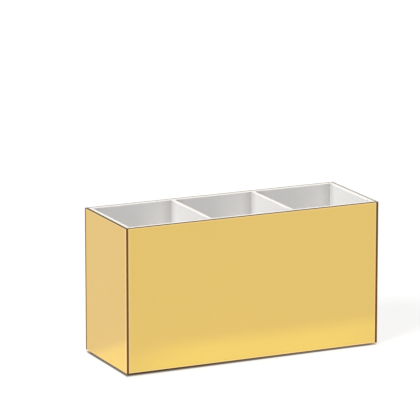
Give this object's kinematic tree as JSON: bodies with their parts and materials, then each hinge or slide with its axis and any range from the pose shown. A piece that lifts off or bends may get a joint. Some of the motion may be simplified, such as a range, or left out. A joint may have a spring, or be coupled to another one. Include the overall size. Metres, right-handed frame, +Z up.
{
  "type": "makeup brush holder",
  "caption": "Open-topped rectangular desk box of gold mirror and white acrylic sheet, divided across into equal compartments that hold makeup brushes upright.",
  "frame": {"origin": "on the surface that the feet rest on, below the middle of the box", "axes": "+X along the length, to the right seen from the front; +Y from the front face to the rear face, along the depth; +Z up, out of the open top"},
  "size_m": [0.216, 0.079, 0.1155],
  "materials": {
    "gold_mirror_sheet": "polished",
    "white_sheet": "gloss",
    "adhesive_film": "matte",
    "foot_rubber": "satin"
  },
  "bodies": {
    "root": {"base_panel": "white_sheet", "front_wall": "white_sheet", "rear_wall": "white_sheet", "left_end_wall": "white_sheet", "right_end_wall": "white_sheet", "divider_1": "white_sheet", "divider_2": "white_sheet", "front_mirror_panel": "gold_mirror_sheet", "rear_mirror_panel": "gold_mirror_sheet", "left_mirror_panel": "gold_mirror_sheet", "right_mirror_panel": "gold_mirror_sheet", "front_mirror_adhesive": "adhesive_film", "rear_mirror_adhesive": "adhesive_film", "left_mirror_adhesive": "adhesive_film", "right_mirror_adhesive": "adhesive_film", "foot_front_left": "foot_rubber", "foot_front_right": "foot_rubber", "foot_rear_left": "foot_rubber", "foot_rear_right": "foot_rubber"}
  },
  "joints": []
}
